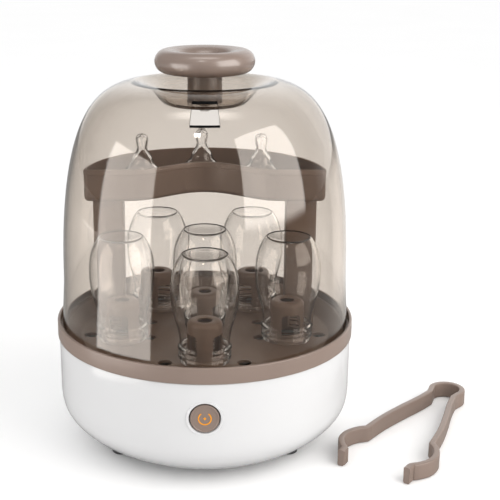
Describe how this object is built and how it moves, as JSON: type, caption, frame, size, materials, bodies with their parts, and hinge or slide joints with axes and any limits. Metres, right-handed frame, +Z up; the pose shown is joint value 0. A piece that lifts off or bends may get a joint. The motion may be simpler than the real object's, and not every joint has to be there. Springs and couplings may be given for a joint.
{
  "type": "bottle sterilizer",
  "caption": "Round electric steam steriliser with a clear dome lid, a pegged bottle rack, a raised teat tray and separate tongs.",
  "frame": {"origin": "middle of the bottom cover's flat underside, 6.3 mm above the surface that the feet and the tongs stand on", "axes": "+Z up; the front with the button faces -Y; +X to the right, where the tongs lie"},
  "size_m": [0.3885, 0.27, 0.351],
  "materials": {
    "white_plastic": "moulded, high gloss",
    "taupe_plastic": "moulded, satin",
    "dark_taupe": "moulded, satin",
    "smoked_clear": "clear moulded plastic, polished, smoked grey-brown",
    "bottle_glass": "clear, polished",
    "clear_silicone": "translucent, satin",
    "pale_silicone": "matt",
    "steel": "brushed",
    "aluminium": "as cast",
    "black_rubber": "matt",
    "black_plastic": "matt",
    "circuit_board": "solder mask",
    "amber_mark": "translucent, satin"
  },
  "bodies": {
    "base": {"base_housing": "white_plastic", "water_basin": "white_plastic", "bottom_cover": "white_plastic", "foot_1": "black_rubber", "foot_2": "black_rubber", "foot_3": "black_rubber", "foot_4": "black_rubber", "bottom_screw_1": "steel", "bottom_screw_2": "steel", "bottom_screw_3": "steel", "bottom_screw_4": "steel", "heating_plate": "steel", "plate_gasket": "pale_silicone", "heater_ring": "aluminium", "thermostat": "black_plastic", "thermal_fuse": "pale_silicone", "control_board": "circuit_board", "tact_switch": "black_plastic", "indicator_lamp": "amber_mark", "terminal_block": "pale_silicone", "cord_gland": "white_plastic", "gland_nut": "black_plastic"},
    "power_button": {"power_button": "taupe_plastic", "power_mark_ring": "amber_mark", "power_mark_dot": "amber_mark"},
    "bottle_rack": {"bottle_rack": "taupe_plastic", "bottle_peg_front": "taupe_plastic", "bottle_peg_right": "taupe_plastic", "bottle_peg_back_right": "taupe_plastic", "bottle_peg_back_left": "taupe_plastic", "bottle_peg_left": "taupe_plastic", "bottle_peg_middle": "taupe_plastic"},
    "upper_tray": {"accessory_tray": "taupe_plastic", "tray_leg_right": "taupe_plastic", "tray_leg_left": "taupe_plastic"},
    "lid": {"lid_dome": "smoked_clear", "knob_stem": "dark_taupe", "lid_knob": "taupe_plastic", "knob_washer": "pale_silicone", "knob_screw": "steel"},
    "bottle_front": {"bottle_front": "bottle_glass"},
    "bottle_right": {"bottle_right": "bottle_glass"},
    "bottle_back_right": {"bottle_back_right": "bottle_glass"},
    "bottle_back_left": {"bottle_back_left": "bottle_glass"},
    "bottle_left": {"bottle_left": "bottle_glass"},
    "bottle_middle": {"bottle_middle": "bottle_glass"},
    "teat_right": {"teat_right": "clear_silicone"},
    "teat_middle": {"teat_middle": "clear_silicone"},
    "teat_left": {"teat_left": "clear_silicone"},
    "tongs_bow": {"tongs_bow": "taupe_plastic"},
    "tongs_arm_left": {"tongs_arm_left": "taupe_plastic"},
    "tongs_arm_right": {"tongs_arm_right": "taupe_plastic"}
  },
  "joints": [
    {"name": "button_press", "type": "slide", "parent": "base", "child": "power_button", "axis": [0, 1, 0], "range_m": [0, 0.0015], "stiffness_N_per_m": 700, "springref_m": -0.001},
    {"name": "rack_lift", "type": "slide", "parent": "base", "child": "bottle_rack", "axis": [0, 0, 1], "range_m": [0, 0.12]},
    {"name": "tray_lift", "type": "slide", "parent": "bottle_rack", "child": "upper_tray", "axis": [0, 0, 1], "range_m": [0, 0.15]},
    {"name": "lid_lift", "type": "slide", "parent": "upper_tray", "child": "lid", "axis": [0, 0, 1], "range_m": [0, 0.25]},
    {"name": "bottle_front_lift", "type": "slide", "parent": "bottle_rack", "child": "bottle_front", "axis": [0, 0, 1], "range_m": [0, 0.1]},
    {"name": "bottle_right_lift", "type": "slide", "parent": "bottle_rack", "child": "bottle_right", "axis": [0, 0, 1], "range_m": [0, 0.036]},
    {"name": "bottle_back_right_lift", "type": "slide", "parent": "bottle_rack", "child": "bottle_back_right", "axis": [0, 0, 1], "range_m": [0, 0.0215]},
    {"name": "bottle_back_left_lift", "type": "slide", "parent": "bottle_rack", "child": "bottle_back_left", "axis": [0, 0, 1], "range_m": [0, 0.0215]},
    {"name": "bottle_left_lift", "type": "slide", "parent": "bottle_rack", "child": "bottle_left", "axis": [0, 0, 1], "range_m": [0, 0.036]},
    {"name": "bottle_middle_lift", "type": "slide", "parent": "bottle_rack", "child": "bottle_middle", "axis": [0, 0, 1], "range_m": [0, 0.1]},
    {"name": "teat_right_lift", "type": "slide", "parent": "upper_tray", "child": "teat_right", "axis": [0, 0, 1], "range_m": [0, 0.035]},
    {"name": "teat_middle_lift", "type": "slide", "parent": "upper_tray", "child": "teat_middle", "axis": [0, 0, 1], "range_m": [0, 0.035]},
    {"name": "teat_left_lift", "type": "slide", "parent": "upper_tray", "child": "teat_left", "axis": [0, 0, 1], "range_m": [0, 0.035]},
    {"name": "tongs_lift", "type": "slide", "parent": "base", "child": "tongs_bow", "axis": [0, 0, 1], "range_m": [0, 0.02]},
    {"name": "tongs_left_squeeze", "type": "hinge", "parent": "tongs_bow", "child": "tongs_arm_left", "pos_m": [0.21747, 0.04518, 0.0014], "axis": [0, 0, 1], "range_deg": [0, 9], "stiffness_Nm_per_rad": 2},
    {"name": "tongs_right_squeeze", "type": "hinge", "parent": "tongs_bow", "child": "tongs_arm_right", "pos_m": [0.23899, 0.03168, 0.0014], "axis": [0, 0, -1], "range_deg": [0, 9], "stiffness_Nm_per_rad": 2}
  ],
  "couplings": [
    {"joint": "tongs_right_squeeze", "follows": "tongs_left_squeeze", "ratio": 1}
  ]
}
